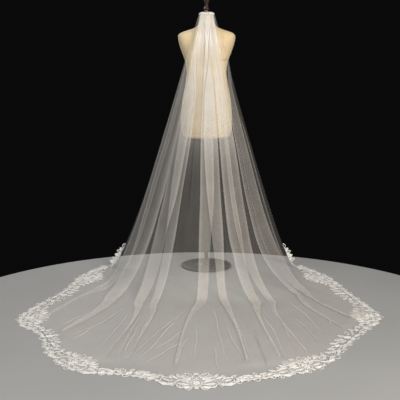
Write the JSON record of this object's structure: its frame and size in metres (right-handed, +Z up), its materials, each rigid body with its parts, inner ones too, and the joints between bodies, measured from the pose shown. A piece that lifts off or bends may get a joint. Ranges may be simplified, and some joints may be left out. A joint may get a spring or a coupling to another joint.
{
  "type": "bridal veil on dress form",
  "caption": "Long bridal veil gathered over the neck of a limbless dress form, its folds falling to a wide floor train with a lace border.",
  "frame": {"origin": "on the floor, at the middle of the underside of the stand's base plate", "axes": "+Z up, -Y towards the train behind the form, +X to the right as seen from behind the form, looking at its back"},
  "size_m": [1.8835, 2.136, 1.7203],
  "materials": {
    "stand_black": "satin black powder coat",
    "form_cover": "cream jersey pulled over a padded form",
    "collar_brass": "polished",
    "finial_wood": "dark stain, semi-gloss",
    "veil_header": "gathered tulle, many layers",
    "veil_tulle": "sheer ivory tulle",
    "veil_lace": "corded floral lace"
  },
  "bodies": {
    "root": {"stand_base": "stand_black", "stand_pole": "stand_black", "form_torso": "form_cover", "finial_collar": "collar_brass", "finial": "finial_wood", "veil_header": "veil_header", "veil_tulle": "veil_tulle", "lace_medallion_1": "veil_lace", "lace_medallion_2": "veil_lace", "lace_medallion_3": "veil_lace", "lace_medallion_4": "veil_lace", "lace_medallion_5": "veil_lace", "lace_medallion_6": "veil_lace", "lace_medallion_7": "veil_lace", "lace_link_1": "veil_lace", "lace_link_2": "veil_lace", "lace_link_3": "veil_lace", "lace_link_4": "veil_lace", "lace_link_5": "veil_lace", "lace_link_6": "veil_lace", "lace_tail_left": "veil_lace", "lace_tail_right": "veil_lace", "lace_end_left": "veil_lace", "lace_end_right": "veil_lace"}
  },
  "joints": []
}
